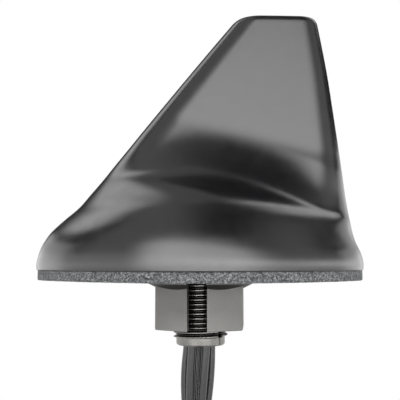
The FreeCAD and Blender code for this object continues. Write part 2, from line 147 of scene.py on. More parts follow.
def pick(piece):
    """Select this piece alone and make it the active one."""
    clear_selection()
    piece.select_set(True)
    bpy.context.view_layer.objects.active = piece


def settle(piece, name, material, slot, *nodes):
    """Name a finished piece, apply its place, dress it and let it stand for its CAD nodes."""
    pick(piece)
    bpy.ops.object.transform_apply(location=True, rotation=True, scale=True)
    piece.name = name
    piece.data.materials.clear()
    piece.data.materials.append(material)
    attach(piece, "root")
    if nodes:
        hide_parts(*nodes)
    print(name, len(piece.data.vertices) if piece.type == "MESH" else "curve")
    return piece


def apply_modifiers(piece):
    pick(piece)
    for modifier in list(piece.modifiers):
        bpy.ops.object.modifier_apply(modifier=modifier.name)


# %% [markdown]
# ## The cable tails
# Five thin coaxial leads come out of the stud, are drawn together by a tie below the picture and end
# in screw jacks. Each is a smooth spline on the same listed points as the CAD tube, with a round
# bevel for its jacket.

# %% Tail routes
RING = 4.1
SPREAD = [(-1.4, 3.4), (-6.1, 1.5), (-3.9, -3.0), (0.9, -3.4), (3.6, 0.9)]
JACK_RING = 6.1
BORE_Z, SPREAD_Z, JACK_Z = -17.0, -36.0, -76.0
TIE_X, TIE_Z, TIE_RING = -1.8, -56.0, 2.0
JACKET_D = 2.8
DROPS = [-91.0, -96.0, -93.5, -98.0, -89.0]
GROMMET_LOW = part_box("inner_leads")[0].z / MM
routes = []
for i in range(5):
    turn = math.radians(90 + 72 * i)
    c, s = math.cos(turn), math.sin(turn)
    routes.append([
        (RING * c, RING * s, GROMMET_LOW),
        (RING * c, RING * s, BORE_Z),
        (SPREAD[i][0], SPREAD[i][1], SPREAD_Z),
        (TIE_X + TIE_RING * c, TIE_RING * s, TIE_Z),
        (JACK_RING * c, JACK_RING * s, JACK_Z),
        (JACK_RING * c, JACK_RING * s, DROPS[i]),
    ])
print("routes", len(routes))

# %% [markdown]
# The jacket is black PVC, drawn through a die: a smooth skin with a soft sheen. Its mottle, finer on
# a real one, is drawn at about 0.7 mm so that it shows, and varies the shade and the gloss a little.

# %% Cable jacket
cable_jacket, tree, shader, place = finish_of("black_pvc_jacket")
grain = add(tree, "ShaderNodeTexNoise", {"Vector": place}, Scale=1.4 * PER_MM, Detail=3.0).outputs["Fac"]
tree.links.new(tint(tree, grain, "171718", "29292b"), shader.inputs["Base Color"])
gloss(tree, shader, grain, 0.16, 0.24)
shader.inputs["IOR"].default_value = 1.75

# %% Tails
for i, route in enumerate(routes):
    curve = bpy.data.curves.new("coax_tail_%d_curve" % (i + 1), "CURVE")
    curve.dimensions = "3D"
    curve.bevel_depth = JACKET_D / 2 * MM
    curve.bevel_resolution = 5
    curve.resolution_u = 16
    curve.use_fill_caps = True
    spline = curve.splines.new("NURBS")
    spline.points.add(len(route) - 1)
    for point, (x, y, z) in zip(spline.points, route):
        point.co = (x * MM, y * MM, z * MM, 1)
    spline.order_u = 3
    spline.use_endpoint_u = True
    tail = bpy.data.objects.new("coax_lead_%d" % (i + 1), curve)
    bpy.context.collection.objects.link(tail)
    settle(tail, "coax_lead_%d" % (i + 1), cable_jacket, "cable_black", "coax_tail_%d" % (i + 1))

# %% [markdown]
# ## The fin housing
# A moulded cover: a slab-sided fin that flows through a hollow flank into a boat-shaped base. It is
# drawn as closed rings, one above the other, each with the same rule as the CAD sections: a slab with
# rounded noses near the top and a pinched oval near the rim.

# %% Housing rings
TOP, FLAT_Z, RIM_Z, PAD_T = 94.15, 53.0, 5.0, 3.4
FRONT, REAR, HALF_W = 57.99, 57.31, 43.3
FIN_HALF_TOP, DRAFT = 6.4, 0.08
TOP_ROUND = 2.2
LEAN, LEAN_BOW, LEAN_RISE = 7.5, 0.28, 18.0
FRONT_DRAW, REAR_DRAW = 1.25, 1.1
FRONT_NOSE, REAR_NOSE = 1.3, 1.05
BLEND_TOP, BLEND_RUN = 0.94, 0.6
PINCH, PINCH_SKEW = 0.35, 0.10
SIDE = [
    (0.0368, -0.996, 0.996), (0.0537, -1.000, 1.000), (0.0760, -0.994, 0.996), (0.1064, -0.981, 0.981),
    (0.1368, -0.958, 0.957), (0.1763, -0.913, 0.937), (0.2219, -0.834, 0.923), (0.2685, -0.745, 0.910),
    (0.3151, -0.680, 0.898), (0.3698, -0.605, 0.887), (0.4256, -0.534, 0.876), (0.4914, -0.448, 0.863),
    (0.5674, -0.350, 0.847), (0.6688, -0.217, 0.825), (0.7802, -0.070, 0.800), (0.8917, 0.079, 0.769),
    (1.0000, 0.226, 0.736),
]


def smooth_share(z, column):
    """Reach share at height z, on a smooth curve through the side profile's rows."""
    at = z / TOP
    k = max(j for j in range(len(SIDE) - 1) if at >= SIDE[j][0] or j == 0)

    def slope(j):
        low, high = SIDE[max(j - 1, 0)], SIDE[min(j + 1, len(SIDE) - 1)]
        return (high[column] - low[column]) / (high[0] - low[0])

    low, high = SIDE[k], SIDE[k + 1]
    run = high[0] - low[0]
    t = min(max((at - low[0]) / run, 0), 1)
    a, b = slope(k) * run, slope(k + 1) * run
    return (
        (2 * t ** 3 - 3 * t ** 2 + 1) * low[column]
        + (t ** 3 - 2 * t ** 2 + t) * a
        + (3 * t ** 2 - 2 * t ** 3) * high[column]
        + (t ** 3 - t ** 2) * b
    )


def fin_half(z):
    """Half the fin's thickness, which grows downward with the mould's draft."""
    return FIN_HALF_TOP + DRAFT * (TOP - z)


def flank_arc():
    """Radius, steepest tilt and first tilt of the two equal arcs between the fin's flat and the rim."""
    first = math.atan(DRAFT)
    rise, reach = FLAT_Z - RIM_Z, HALF_W - fin_half(FLAT_Z)
    low, high = math.radians(20), math.radians(88)
    for _ in range(60):
        tilt = (low + high) / 2
        share = (1 + math.cos(first) - 2 * math.cos(tilt)) / (2 * math.sin(tilt) - math.sin(first))
        low, high = (tilt, high) if share < reach / rise else (low, tilt)
    return rise / (2 * math.sin(tilt) - math.sin(first)), tilt, first


ARC, TILT, FIRST = flank_arc()


def half_width(z):
    """Half the housing's width at its middle: flat fin, hollow arc, then the round of the shoulder."""
    if z >= FLAT_Z:
        return fin_half(z)
    if z >= RIM_Z + ARC * math.sin(TILT):
        drop = FLAT_Z + ARC * math.sin(FIRST) - z
        return fin_half(FLAT_Z) + ARC * math.cos(FIRST) - math.sqrt(ARC ** 2 - drop ** 2)
    return HALF_W - ARC + math.sqrt(ARC ** 2 - max(z - RIM_Z, 0) ** 2)


def ring(z, inset, around):
    """Points of one closed ring of the housing, in millimetres, at height z."""
    front = smooth_share(z, 1) * FRONT + FRONT_DRAW * inset
    rear = smooth_share(z, 2) * REAR - REAR_DRAW * inset
    middle, half = (front + rear) / 2, (rear - front) / 2
    thick = fin_half(z) - inset
    lean = LEAN * min(max(z - RIM_Z, 0) / LEAN_RISE, 1)
    points = []
    for i in range(around):
        angle = 2 * math.pi * i / around
        u = -math.cos(angle)
        x = middle + half * u
        level = z + lean * u * (1 + LEAN_BOW * u)
        wide = half_width(level) - inset
        blend = min(max((BLEND_TOP * FLAT_Z - level) / (BLEND_RUN * FLAT_Z), 0), 1)
        slab = min(thick, wide) * (1 - blend * blend * (3 - 2 * blend))
        ahead, behind = (x - front) / (FRONT_NOSE * thick), (rear - x) / (REAR_NOSE * thick)
        short = max(1 - ahead, 1 - behind, 0)
        nose = math.sqrt(max(1 - short * short, 0))
        pinch = abs(math.sin(angle)) * (1 - (PINCH - PINCH_SKEW * u) * u * u)
        y = slab * nose + (wide - slab) * pinch
        points.append((x, y if math.sin(angle) >= 0 else -y))
    return points


# %% [markdown]
# The cover starts as a circle of points at the rim. It is extruded ring by ring, and each new ring is
# laid on its own section, up to the rounded crown.

# %% Fin housing
AROUND = 192
FOOT = [(0.0, 0.3), (0.1, 0.1), (0.32, 0.0), (0.4, 0.0), (0.7, 0.0)]
FOOT_H = FOOT[-1][0]
RISES, CROWN_STEPS = 90, 10
CROWN_DRAW = 0.55
levels = [(PAD_T + up, inset) for up, inset in FOOT]
for i in range(1, RISES + 1):
    levels.append((PAD_T + FOOT_H + (TOP - TOP_ROUND - PAD_T - FOOT_H) * i / RISES, 0.0))
for i in range(1, CROWN_STEPS + 1):
    a = math.radians(90 / CROWN_STEPS * i)
    levels.append((TOP - TOP_ROUND + TOP_ROUND * math.sin(a), CROWN_DRAW * TOP_ROUND * (1 - math.cos(a))))


def in_metres(points, z):
    return [(x * MM, y * MM, z * MM) for x, y in points]


def extruded_rings(rings):
    """A closed skin: a circle laid on the first ring, extruded to each of the next, both ends filled."""
    clear_selection()
    bpy.ops.mesh.primitive_circle_add(vertices=len(rings[0]), radius=0.05)
    piece = bpy.context.object
    bpy.ops.object.mode_set(mode="EDIT")
    bpy.ops.mesh.select_all(action="SELECT")
    mesh = bmesh.from_edit_mesh(piece.data)
    order = sorted(mesh.verts, key=lambda v: -math.atan2(v.co.y, v.co.x))
    for vert, point in zip(order, rings[0]):
        vert.co = point
    for points in rings[1:]:
        bpy.ops.mesh.extrude_region_move(TRANSFORM_OT_translate={"value": (0, 0, 0)})
        mesh = bmesh.from_edit_mesh(piece.data)
        fresh = [v for v in mesh.verts if v.select]
        below = {v: i for i, v in enumerate(order)}
        placed = [None] * len(points)
        for vert in fresh:
            for edge in vert.link_edges:
                other = edge.other_vert(vert)
                if not other.select:
                    placed[below[other]] = vert
        for vert, point in zip(placed, points):
            vert.co = point
        order = placed
    bpy.ops.mesh.edge_face_add()
    bpy.ops.mesh.select_all(action="DESELECT")
    bpy.ops.mesh.select_non_manifold()
    bpy.ops.mesh.edge_face_add()
    bpy.ops.mesh.select_all(action="SELECT")
    bpy.ops.mesh.normals_make_consistent(inside=False)
    bpy.ops.object.mode_set(mode="OBJECT")
    bpy.ops.object.shade_smooth_by_angle(angle=math.radians(35))
    return piece


housing = extruded_rings([in_metres(ring(z, inset, AROUND), z) for z, inset in levels])
print("rings", len(levels))

# %% [markdown]
# The cover is moulded in black ASA with a fine spark-eroded texture on the mould: nearly black and
# satin. The real grain is a few hundredths of a millimetre, too fine for the picture, so it is drawn
# at about 0.4 mm and very shallow.

# %% Moulded black
moulded_black, tree, shader, place = finish_of("moulded_black_asa")
cloud = add(tree, "ShaderNodeTexNoise", {"Vector": place}, Scale=0.26 * PER_MM, Detail=4.0).outputs["Fac"]
tree.links.new(tint(tree, cloud, "0b0b0c", "111113"), shader.inputs["Base Color"])
gloss(tree, shader, cloud, 0.18, 0.3)
shader.inputs["IOR"].default_value = 1.8
erosion = add(tree, "ShaderNodeTexNoise", {"Vector": place}, Scale=2.6 * PER_MM, Detail=2.0)
relief(tree, shader, erosion.outputs["Fac"], 0.05, 0.2)
settle(housing, "fin_cover", moulded_black, "housing_black", "fin_housing")

# %% [markdown]
# ## The foam pad
# A die-cut pad of closed-cell foam: its cut edge shows the cells as grey grains, and its outline
# follows the rim a little inside. Real cells are 0.1 to 0.3 mm; they are drawn at 0.4 mm so that they
# show.

# %% Foam pad
PAD_AROUND = 720
PAD_EDGE, PAD_STEPS, PAD_WALL = 0.12, 8, 3.16
pad_levels = [(0.0, 0.75), (PAD_EDGE, 0.5)]
pad_levels += [(PAD_EDGE + PAD_WALL * i / PAD_STEPS, 0.45) for i in range(1, PAD_STEPS + 1)]
pad_levels += [(PAD_T, 0.6)]
pad = extruded_rings([in_metres(ring(RIM_Z, inset, PAD_AROUND), z) for z, inset in pad_levels])
grit = bpy.data.textures.new("foam_cells", "CLOUDS")
grit.noise_scale = 0.7 * MM
cells = pad.modifiers.new("cells", "DISPLACE")
cells.texture = grit
cells.texture_coords = "LOCAL"
cells.strength = 0.16 * MM
cells.mid_level = 0.62
apply_modifiers(pad)

# %% Foam finish
foam, tree, shader, place = finish_of("grey_closed_cell_foam")
cell = add(tree, "ShaderNodeTexVoronoi", {"Vector": place}, Scale=1 / (0.4 * MM))
fleck = add(
    tree, "ShaderNodeTexNoise", {"Vector": place}, Scale=1 / (1.1 * MM), Detail=4.0, Roughness=0.65
)
chance = add(tree, "ShaderNodeSeparateColor", {"Color": cell.outputs["Color"]})
shade = add(tree, "ShaderNodeValToRGB", {"Fac": chance.outputs["Red"]})
shade.color_ramp.elements[0].color = colour("2a2b2c")
shade.color_ramp.elements[1].color = colour("8f9091")
for stop, tone in ((0.3, "4c4e50"), (0.75, "6b6d6e")):
    shade.color_ramp.elements.new(stop).color = colour(tone)
tree.links.new(shade.outputs["Color"], shader.inputs["Base Color"])
shader.inputs["Roughness"].default_value = 0.85
height = add(
    tree,
    "ShaderNodeMath",
    {0: cell.outputs["Distance"], 1: fleck.outputs["Fac"]},
    operation="ADD",
)
relief(tree, shader, height.outputs[0], 0.6, 0.3)
settle(pad, "foam_gasket", foam, "foam_grey", "foam_pad")

# %% [markdown]
# ## Turned and threaded pieces
# The stud, the nut and the jacks are lathe work. A profile is drawn as a line of edges from point to
# point and swept about Z by a Screw modifier; with a rise per turn the same modifier cuts a real
# helical thread.


# %% Lathe helpers
def drawn(points):
    """A line of edges through points in the X-Z plane: one vertex, extruded from point to point."""
    clear_selection()
    bpy.ops.mesh.primitive_plane_add(size=MM)
    piece = bpy.context.object
    bpy.ops.object.mode_set(mode="EDIT")
    bpy.ops.mesh.select_all(action="SELECT")
    bpy.ops.mesh.merge(type="CENTER")
    corners = [Vector((r * MM, 0, z * MM)) for r, z in points]
    bpy.ops.transform.translate(value=corners[0])
    for here, there in zip(corners, corners[1:]):
        bpy.ops.mesh.extrude_region_move(TRANSFORM_OT_translate={"value": there - here})
    bpy.ops.object.mode_set(mode="OBJECT")
    return piece


def closed_up(piece):
    """Merge a piece's seams and turn its faces outward."""
    pick(piece)
    bpy.ops.object.mode_set(mode="EDIT")
    bpy.ops.mesh.select_all(action="SELECT")
    bpy.ops.mesh.remove_doubles(threshold=0.002 * MM)
    bpy.ops.mesh.normals_make_consistent(inside=False)
    bpy.ops.object.mode_set(mode="OBJECT")
    return piece


def turned(points, steps=96):
    """A solid of revolution from radius and height pairs in millimetres, closed or ending on the axis."""
    piece = drawn(points)
    sweep = piece.modifiers.new("sweep", "SCREW")
    sweep.steps = sweep.render_steps = steps
    sweep.use_merge_vertices = True
    sweep.merge_threshold = 0.001 * MM
    apply_modifiers(piece)
    return closed_up(piece)


def threaded(root, crest, pitch, low, high, steps=72):
    """A rod with a helical thread between two heights, its ends cut square and filled."""
    turns = math.ceil((high - low) / pitch) + 2
    start = low - pitch
    piece = drawn([
        (root, start),
        (root, start + 0.08 * pitch),
        (crest, start + 0.44 * pitch),
        (crest, start + 0.56 * pitch),
        (root, start + 0.92 * pitch),
        (root, start + pitch),
    ])
    sweep = piece.modifiers.new("sweep", "SCREW")
    sweep.steps = sweep.render_steps = steps
    sweep.screw_offset = pitch * MM
    sweep.iterations = turns
    sweep.use_merge_vertices = True
    sweep.merge_threshold = 0.001 * MM
    apply_modifiers(piece)
    closed_up(piece)
    for height, upper in ((high, True), (low, False)):
        bpy.ops.object.mode_set(mode="EDIT")
        bpy.ops.mesh.select_all(action="SELECT")
        bpy.ops.mesh.bisect(
            plane_co=(0, 0, height * MM),
            plane_no=(0, 0, 1),
            use_fill=True,
            clear_outer=upper,
            clear_inner=not upper,
            threshold=1e-7,
        )
        bpy.ops.object.mode_set(mode="OBJECT")
    return closed_up(piece)


def combine(piece, tool, operation):
    """Union with a tool or cut it away, and put the tool aside."""
    change = piece.modifiers.new("combine", "BOOLEAN")
    change.operation = operation
    change.solver = "EXACT"
    change.object = tool
    apply_modifiers(piece)
    bpy.data.objects.remove(tool, do_unlink=True)
    return piece


def prism(sides, radius, low, high, turn=0.0):
    """An upright prism between two heights in millimetres, turned about Z."""
    clear_selection()
    bpy.ops.mesh.primitive_cylinder_add(
        vertices=sides,
        radius=radius * MM,
        depth=(high - low) * MM,
        location=(0, 0, (high + low) / 2 * MM),
        rotation=(0, 0, math.radians(turn)),
    )
    bpy.ops.object.transform_apply(location=True, rotation=True, scale=True)
    return bpy.context.object


def block(size, middle, turn=0.0):
    """A box in millimetres, moved to its middle and then turned about Z."""
    clear_selection()
    bpy.ops.mesh.primitive_cube_add(size=MM)
    piece = bpy.context.object
    piece.scale = size
    piece.location = Matrix.Rotation(math.radians(turn), 3, "Z") @ Vector(middle) * MM
    piece.rotation_euler.z = math.radians(turn)
    bpy.ops.object.transform_apply(location=True, rotation=True, scale=True)
    return piece


def soften(piece, wanted, width, segments=3):
    """Bevel the edges that wanted picks, by their middle and direction in millimetres."""
    pick(piece)
    bpy.ops.object.mode_set(mode="EDIT")
    bpy.ops.mesh.select_all(action="DESELECT")
    bpy.ops.mesh.select_mode(type="EDGE")
    mesh = bmesh.from_edit_mesh(piece.data)
    for edge in mesh.edges:
        first, second = (v.co / MM for v in edge.verts)
        edge.select_set(bool(wanted((first + second) / 2, (second - first).normalized())))
    bmesh.update_edit_mesh(piece.data)
    bpy.ops.mesh.bevel(offset=width * MM, segments=segments, profile=0.5, affect="EDGES")
    bpy.ops.mesh.select_mode(type="VERT")
    bpy.ops.object.mode_set(mode="OBJECT")
    return piece


def smooth(piece, degrees=32):
    pick(piece)
    bpy.ops.object.shade_smooth_by_angle(angle=math.radians(degrees))
    return piece


# %% [markdown]
# ## The hollow stud
# A 3/4-16 thread rolled on a steel tube, with a plain pilot end that guides the nut, a hexagonal
# flange that keeps the stud from turning in the plate and a keyway filed through the thread's end.

# %% Hollow stud
THREAD_R, THREAD_ROOT, PITCH = 9.525, 8.56, 25.4 / 16
SEAT_Z, FLANGE_TOP = 5.2, 7.4
PILOT_R, PILOT_Z, STUD_END = 8.53, -19.6, -22.4
HEX_FLANGE, BORE_R = 25.0, 6.35
KEY_SIZE, KEY_TURN = (2.6, 2.1, 6.2), -45
stud = threaded(THREAD_ROOT, THREAD_R, PITCH, PILOT_Z, SEAT_Z + 0.5)
pilot = turned([
    (0, PILOT_Z + 0.4),
    (PILOT_R, PILOT_Z + 0.4),
    (PILOT_R, STUD_END + 0.5),
    (PILOT_R - 0.5, STUD_END),
    (0, STUD_END),
])
combine(stud, pilot, "UNION")
combine(stud, prism(6, HEX_FLANGE / math.sqrt(3), SEAT_Z, FLANGE_TOP, 30), "UNION")
combine(stud, prism(96, BORE_R, STUD_END - 1, FLANGE_TOP + 1), "DIFFERENCE")
combine(stud, block(KEY_SIZE, (THREAD_R, 0, STUD_END + KEY_SIZE[2] / 2 - 0.5), KEY_TURN), "DIFFERENCE")
smooth(closed_up(stud), 25)

# %% [markdown]
# Zinc plate over rolled steel, with a fine tarnish that varies along it. The roots of the thread are
# painted near-black as shade; the crests and the pilot keep the plate's grey.

# %% Plated steel
plated, tree, shader, place = finish_of("zinc_plated_thread")
tarnish = add(
    tree, "ShaderNodeTexNoise", {"Vector": place}, Scale=0.42 * PER_MM, Detail=5.0, Roughness=0.6
).outputs["Fac"]
flat = add(tree, "ShaderNodeVectorMath", {0: place}, operation="MULTIPLY")
flat.inputs[1].default_value = (1, 1, 0)
reach = add(tree, "ShaderNodeVectorMath", {0: flat.outputs[0]}, operation="LENGTH")
# Painted shade: the thread's roots, nearer the axis than about 8.7 mm, are painted near-black.
crest = add(
    tree,
    "ShaderNodeMapRange",
    {"Value": reach.outputs["Value"]},
    From_Min=8.7 * MM,
    From_Max=9.4 * MM,
)
end = add(tree, "ShaderNodeSeparateXYZ", {"Vector": place})
plain = add(
    tree,
    "ShaderNodeMapRange",
    {"Value": end.outputs["Z"]},
    From_Min=-19.5 * MM,
    From_Max=-19.7 * MM,
)
out_of_root_shade = add(tree, "ShaderNodeMath", {0: crest.outputs[0], 1: plain.outputs[0]}, operation="MAXIMUM")
mixed = add(tree, "ShaderNodeMix", {"Factor": out_of_root_shade.outputs[0]}, data_type="RGBA")
# The painted shade colour for the thread's roots.
mixed.inputs[6].default_value = colour("2b2a29")
tree.links.new(tint(tree, tarnish, "7d7c79", "a3a29d"), mixed.inputs[7])
# The turned pilot has no crests that catch the light, and is a little greyer.
turned_end = add(
    tree,
    "ShaderNodeMix",
    {"Factor": plain.outputs[0], 6: mixed.outputs[2]},
    data_type="RGBA",
    blend_type="MULTIPLY",
)
turned_end.inputs[7].default_value = colour("e2e2e2")
tree.links.new(turned_end.outputs[2], shader.inputs["Base Color"])
shader.inputs["Metallic"].default_value = 1.0
gloss(tree, shader, tarnish, 0.2, 0.34)
settle(stud, "threaded_stud", plated, "stud_steel", "hollow_stud")

# %% [markdown]
# ## The slotted flange nut
# A hexagon on a conical flange. The slot through one corner lets it slip over the cables, and shows
# the thread behind.

# %% Flange nut
NUT_HEX, NUT_H = 30.0, 16.8
NUT_TURN = -94.5
SLOT_W = 6.7
nut = prism(6, NUT_HEX / math.sqrt(3), -NUT_H, 0, NUT_TURN - 90)
soften(nut, lambda middle, way: abs(way.z) > 0.9, 0.6)
soften(nut, lambda middle, way: middle.z < -NUT_H + 0.01 and abs(way.z) < 0.1, 0.45)
skirt = turned([
    (0, 0),
    (18.4, 0),
    (18.7, -0.12),
    (18.8, -0.4),
    (18.8, -0.85),
    (18.65, -1.08),
    (9.4, -5.7),
    (0, -5.7),
])
combine(nut, skirt, "UNION")
tap = threaded(THREAD_ROOT + 0.12, THREAD_R + 0.08, PITCH, PILOT_Z, SEAT_Z + 0.5)
combine(nut, tap, "DIFFERENCE")
combine(nut, block((24, SLOT_W, 20), (12, 0, -8), NUT_TURN), "DIFFERENCE")
smooth(closed_up(nut), 32)

# %% [markdown]
# Satin zinc, tumbled after casting: even grey with slightly worn, brighter edges. The real grain is
# too fine for the picture and is drawn at about 0.5 mm. Faces that look down, such as the cone under
# the flange, are painted a darker grey as shade.

# %% Tumbled zinc
tumbled, tree, shader, place = finish_of("tumbled_zinc")
grain = add(tree, "ShaderNodeTexNoise", {"Vector": place}, Scale=2.2 * PER_MM, Detail=3.0)
patches = add(tree, "ShaderNodeTexNoise", {"Vector": place}, Scale=0.11 * PER_MM, Detail=3.0)
edge = add(tree, "ShaderNodeNewGeometry")
worn = add(tree, "ShaderNodeMapRange", {"Value": edge.outputs["Pointiness"]}, From_Min=0.52, From_Max=0.6)
mixed = add(tree, "ShaderNodeMix", {"Factor": worn.outputs["Result"]}, data_type="RGBA")
tree.links.new(tint(tree, patches.outputs["Fac"], "6f6e6c", "858482"), mixed.inputs[6])
mixed.inputs[7].default_value = colour("9c9b98")
# Painted shade: faces whose normal points down are painted a dark grey.
facing = add(tree, "ShaderNodeSeparateXYZ", {"Vector": edge.outputs["True Normal"]})
under = add(tree, "ShaderNodeMapRange", {"Value": facing.outputs["Z"]}, From_Min=-0.7, From_Max=-0.85)
painted_shade_mix = add(
    tree, "ShaderNodeMix", {"Factor": under.outputs["Result"], 6: mixed.outputs[2]}, data_type="RGBA"
)
painted_shade_mix.inputs[7].default_value = colour("3d3c3b")
tree.links.new(painted_shade_mix.outputs[2], shader.inputs["Base Color"])
shader.inputs["Metallic"].default_value = 0.9
shader.inputs["Roughness"].default_value = 0.52
relief(tree, shader, grain.outputs["Fac"], 0.12, 0.1)
settle(nut, "slotted_nut", tumbled, "zinc_nut", "flange_nut")

# %% [markdown]
# ## The screw jacks
# Each lead ends in a gold-plated jack: a crimped ferrule, a shoulder with two wrench flats and a
# 1/4-36 thread. One is modelled at the origin, with its crimp line at height 0, and then copied to
# each lead's end.

# %% Jack body
JACK_R, JACK_ROOT, JACK_PITCH = 3.175, 2.74, 25.4 / 36
FERRULE_R, FERRULE_L, SHOULDER_L, JACK_L = 2.45, 6.0, 2.4, 14.8
jack = threaded(JACK_ROOT, JACK_R, JACK_PITCH, -JACK_L, -FERRULE_L - SHOULDER_L - 1.0, 48)
stem = turned([
    (0, 0),
    (FERRULE_R, 0),
    (FERRULE_R, -FERRULE_L + 0.3),
    (FERRULE_R + 0.2, -FERRULE_L),
    (JACK_R - 0.15, -FERRULE_L),
    (JACK_R, -FERRULE_L - 0.15),
    (JACK_R, -FERRULE_L - SHOULDER_L + 0.15),
    (JACK_R - 0.15, -FERRULE_L - SHOULDER_L),
    (JACK_ROOT - 0.1, -FERRULE_L - SHOULDER_L),
    (JACK_ROOT - 0.1, -FERRULE_L - SHOULDER_L - 1.3),
    (0, -FERRULE_L - SHOULDER_L - 1.3),
], 64)
combine(jack, stem, "UNION")
for side in (-1, 1):
    flat = block((8, 1, SHOULDER_L + 0.2), (0, side * (JACK_R + 0.2), -FERRULE_L - SHOULDER_L / 2))
    combine(jack, flat, "DIFFERENCE")
combine(closed_up(jack), prism(52, 2.1, -JACK_L - 1, -JACK_L + 5.6, 3), "DIFFERENCE")
smooth(closed_up(jack), 28)
print("jack", len(jack.data.vertices))

# %% [markdown]
# Gold over brass: a warm metal with faint turning marks round the axis that also vary its gloss. The
# real marks are some hundredths of a millimetre apart; they are drawn at about 0.2 mm.

# %% Gold plate
gold, tree, shader, place = finish_of("gold_plated_brass")
TURNING_SCALE = (0.09 * PER_MM, 0.09 * PER_MM, 5.2 * PER_MM)
stretched = add(tree, "ShaderNodeMapping", {"Vector": place}, Scale=TURNING_SCALE).outputs[0]
turning = add(tree, "ShaderNodeTexNoise", {"Vector": stretched}, Scale=1.0, Detail=2.0).outputs["Fac"]
tree.links.new(tint(tree, turning, "b98a34", "e3bd63"), shader.inputs["Base Color"])
shader.inputs["Metallic"].default_value = 1.0
gloss(tree, shader, turning, 0.18, 0.34)

# %% [markdown]
# The shrink sleeve grips the ferrule and tapers down on to the jacket. Heat leaves its ends slightly
# rounded and its skin faintly rippled.

# %% Shrink sleeve
SLEEVE_LAP, SLEEVE_TOP = 4.6, 9.4
sleeve = turned([
    (FERRULE_R, -SLEEVE_LAP),
    (2.82, -SLEEVE_LAP),
    (2.9, -SLEEVE_LAP + 0.15),
    (2.88, -0.6),
    (2.84, -0.1),
    (2.6, 0.35),
    (2.15, 0.9),
    (1.95, 1.3),
    (1.88, 2.4),
    (1.86, SLEEVE_TOP - 0.25),
    (1.78, SLEEVE_TOP),
    (1.42, SLEEVE_TOP),
    (1.42, 0.05),
    (FERRULE_R, 0.0),
    (FERRULE_R, -SLEEVE_LAP),
], 64)
smooth(sleeve, 30)
shrunk, tree, shader, place = finish_of("black_shrink_tube")
ripple = add(tree, "ShaderNodeTexNoise", {"Vector": place}, Scale=0.7 * PER_MM, Detail=3.0).outputs["Fac"]
tree.links.new(tint(tree, ripple, "111112", "202022"), shader.inputs["Base Color"])
gloss(tree, shader, ripple, 0.42, 0.6)
relief(tree, shader, ripple, 0.15, 0.1)
print("sleeve", len(sleeve.data.vertices))


# %% Jacks and sleeves at the leads' ends
def copy_to(pattern, place):
    """A copy with its own mesh, moved to its place in metres."""
    pick(pattern)
    bpy.ops.object.duplicate(linked=False)
    made = bpy.context.object
    made.location = place
    return made


on_lead = []
for i, route in enumerate(routes, 1):
    end = [c * MM for c in route[-1]]
    body = copy_to(jack, end)
    settle(body, "screw_jack_%d" % i, gold, "gold_brass", "jack_body_%d" % i)
    wrap = copy_to(sleeve, end)
    settle(wrap, "heat_sleeve_%d" % i, shrunk, "tie_black", "shrink_sleeve_%d" % i)
    core = [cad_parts[name % i] for name in ("jack_insulator_%d", "jack_contact_%d")]
    on_lead.append([body, wrap] + core)
bpy.data.objects.remove(jack, do_unlink=True)
bpy.data.objects.remove(sleeve, do_unlink=True)

# %% [markdown]
# ## The cable tie
# A plain nylon strap locked in a square head, its tail cut off short.

# %% Cable tie
tie_low, tie_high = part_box("cable_tie")
TIE_W, TIE_T = 2.5, 1.1
tie_out = (tie_high.x - tie_low.x) / MM / 2
tie_in = tie_out - TIE_T
strap = turned([
    (tie_in, -TIE_W / 2),
    (tie_out - 0.2, -TIE_W / 2),
    (tie_out, -TIE_W / 2 + 0.25),
    (tie_out, TIE_W / 2 - 0.25),
    (tie_out - 0.2, TIE_W / 2),
    (tie_in, TIE_W / 2),
    (tie_in, -TIE_W / 2),
], 80)
head_y = tie_high.y / MM
HEAD = 3.5
head = block((HEAD, HEAD, HEAD), (0, head_y - HEAD / 2, 0))
soften(head, lambda middle, way: abs(way.y) < 0.1, 0.35)
combine(head, block((3 * HEAD, 0.9, TIE_W + 0.1), (0, head_y - HEAD / 2 + 0.3, 0)), "DIFFERENCE")
combine(strap, head, "UNION")
combine(strap, block((2.3, 0.75, TIE_W), (-HEAD / 2 + 0.4, head_y - HEAD / 2 + 0.3, 0)), "UNION")
strap.location = (TIE_X * MM, 0, TIE_Z * MM)
smooth(closed_up(strap), 30)
nylon, tree, shader, place = finish_of("black_nylon")
# Moulded nylon, with flow marks some millimetres long that vary its shade and gloss.
flow = add(tree, "ShaderNodeTexNoise", {"Vector": place}, Scale=0.38 * PER_MM, Detail=3.0).outputs["Fac"]
tree.links.new(tint(tree, flow, "151517", "242427"), shader.inputs["Base Color"])
gloss(tree, shader, flow, 0.32, 0.48)
settle(strap, "nylon_tie", nylon, "tie_black", "cable_tie")
on_lead[0].append(strap)

# %% [markdown]
# ## What the cover hides
# The plate, the boards and the aerials keep their CAD shapes. Each gets the finish of the real thing,
# and all of them stay out of sight inside the cover, which is drawn here as a closed outer skin.


# %% Finishes for the inside
def dress(name, dark, light, per_mm, rough, metal, bumped):
    """A finish that drifts between two shades, with roughness and a little relief from the same noise."""
    material, tree, shader, place = finish_of(name)
    noise = add(tree, "ShaderNodeTexNoise", {"Vector": place}, Scale=per_mm * PER_MM, Detail=4.0)
    drift = noise.outputs["Fac"]
    tree.links.new(tint(tree, drift, dark, light), shader.inputs["Base Color"])
    gloss(tree, shader, drift, rough - 0.08, rough + 0.08)
    shader.inputs["Metallic"].default_value = metal
    relief(tree, shader, drift, bumped, 0.1)
    return material


def numbered(name):
    return [name % i for i in range(1, 6)]


